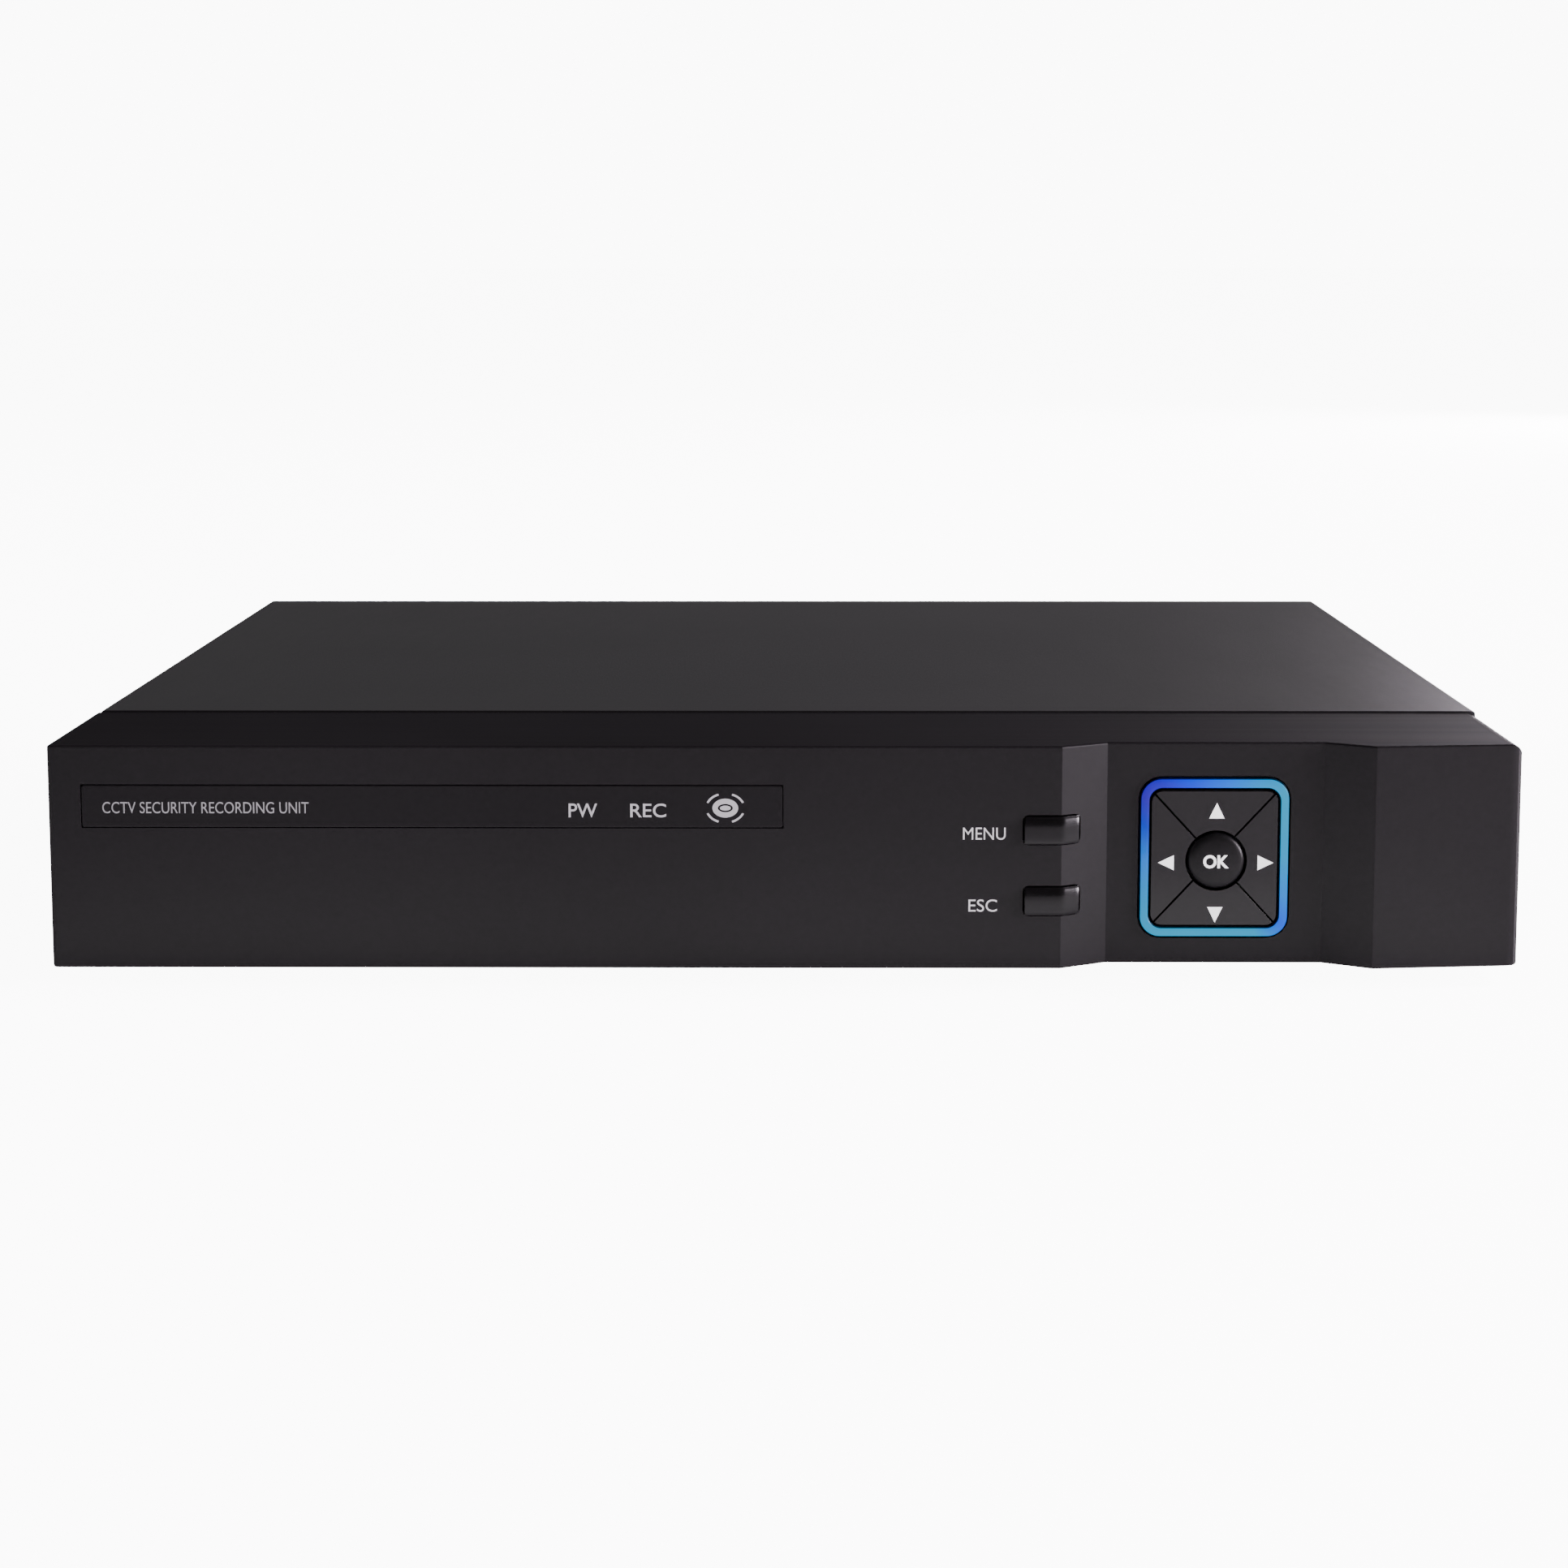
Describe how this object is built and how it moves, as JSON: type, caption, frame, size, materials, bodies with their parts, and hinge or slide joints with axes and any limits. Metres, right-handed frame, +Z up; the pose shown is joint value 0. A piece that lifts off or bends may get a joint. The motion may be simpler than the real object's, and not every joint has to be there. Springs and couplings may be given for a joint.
{
  "type": "video recorder",
  "caption": "Low steel case with a moulded bezel: smoked window strip, lit square key pad with round centre key, side keys, rear video and network sockets, boards, drive and fan inside.",
  "frame": {"origin": "middle of the resting plane under the feet, centred on the box", "axes": "+X to the right seen from the front, +Y from the front bezel to the rear sockets, +Z up"},
  "size_m": [0.3, 0.2348, 0.0503],
  "materials": {
    "cover_paint": "semi-matt black powder coat",
    "base_steel": "semi-matt black powder coat",
    "bezel_plastic": "fine satin moulded plastic",
    "window_gloss": "smoked gloss strip",
    "ring_light": "translucent light guide, lit blue to cyan",
    "key_plastic": "satin key caps with white prints",
    "foot_rubber": "matt rubber",
    "circuit_board": "green solder mask",
    "black_plastic": "moulded black plastic",
    "nickel": "nickel-plated shells",
    "white_plastic": "white lamp body",
    "lamp_red": "tinted clear lamp",
    "bare_aluminium": "cast and machined aluminium",
    "ribbon_grey": "grey insulation",
    "screw_black": "black zinc screws"
  },
  "bodies": {
    "case": {"base_chassis": "base_steel", "top_cover": "cover_paint", "front_bezel": "bezel_plastic", "display_window": "window_gloss", "nav_light_ring": "ring_light", "foot_front_left": "foot_rubber", "foot_front_right": "foot_rubber", "foot_rear_left": "foot_rubber", "foot_rear_right": "foot_rubber", "key_board": "circuit_board", "main_board": "circuit_board", "drive_circuit_board": "circuit_board", "power_led": "lamp_red", "record_led": "lamp_red", "ir_receiver": "black_plastic", "ring_led_left": "white_plastic", "ring_led_right": "white_plastic", "ribbon_cable": "ribbon_grey", "heatsink": "bare_aluminium", "audio_jacks": "nickel", "vga_port": "nickel", "hdmi_port": "nickel", "usb_ports": "nickel", "lan_port": "nickel", "dc_jack": "black_plastic", "fan_frame": "black_plastic", "fan_cable": "black_plastic", "drive_cable": "black_plastic", "drive_body": "bare_aluminium", "cover_screw_left_front": "screw_black", "cover_screw_left_rear": "screw_black", "cover_screw_right_front": "screw_black", "cover_screw_right_rear": "screw_black", "cover_screw_back": "screw_black", "bnc_pair_1": "nickel", "bnc_pair_2": "nickel", "bnc_pair_3": "nickel", "bnc_pair_4": "nickel", "up_switch_body": "black_plastic", "down_switch_body": "black_plastic", "left_switch_body": "black_plastic", "right_switch_body": "black_plastic", "ok_switch_body": "black_plastic", "menu_switch_body": "black_plastic", "esc_switch_body": "black_plastic"},
    "up_button": {"up_key": "key_plastic", "up_switch_plunger": "ribbon_grey"},
    "down_button": {"down_key": "key_plastic", "down_switch_plunger": "ribbon_grey"},
    "left_button": {"left_key": "key_plastic", "left_switch_plunger": "ribbon_grey"},
    "right_button": {"right_key": "key_plastic", "right_switch_plunger": "ribbon_grey"},
    "ok_button": {"ok_key": "key_plastic", "ok_switch_plunger": "ribbon_grey"},
    "menu_button": {"menu_key": "key_plastic", "menu_switch_plunger": "ribbon_grey"},
    "esc_button": {"esc_key": "key_plastic", "esc_switch_plunger": "ribbon_grey"},
    "fan_wheel": {"fan_rotor": "black_plastic"}
  },
  "joints": [
    {"name": "up_press", "type": "slide", "parent": "case", "child": "up_button", "axis": [0, 1, 0], "range_m": [0, 0.0006], "stiffness_N_per_m": 800},
    {"name": "down_press", "type": "slide", "parent": "case", "child": "down_button", "axis": [0, 1, 0], "range_m": [0, 0.0006], "stiffness_N_per_m": 800},
    {"name": "left_press", "type": "slide", "parent": "case", "child": "left_button", "axis": [0, 1, 0], "range_m": [0, 0.0006], "stiffness_N_per_m": 800},
    {"name": "right_press", "type": "slide", "parent": "case", "child": "right_button", "axis": [0, 1, 0], "range_m": [0, 0.0006], "stiffness_N_per_m": 800},
    {"name": "ok_press", "type": "slide", "parent": "case", "child": "ok_button", "axis": [0, 1, 0], "range_m": [0, 0.0006], "stiffness_N_per_m": 800},
    {"name": "menu_press", "type": "slide", "parent": "case", "child": "menu_button", "axis": [0, 1, 0], "range_m": [0, 0.0006], "stiffness_N_per_m": 800},
    {"name": "esc_press", "type": "slide", "parent": "case", "child": "esc_button", "axis": [0, 1, 0], "range_m": [0, 0.0006], "stiffness_N_per_m": 800},
    {"name": "fan_spin", "type": "hinge", "parent": "case", "child": "fan_wheel", "pos_m": [-0.095, 0.10145, 0.0263], "axis": [0, 1, 0], "continuous": true}
  ]
}
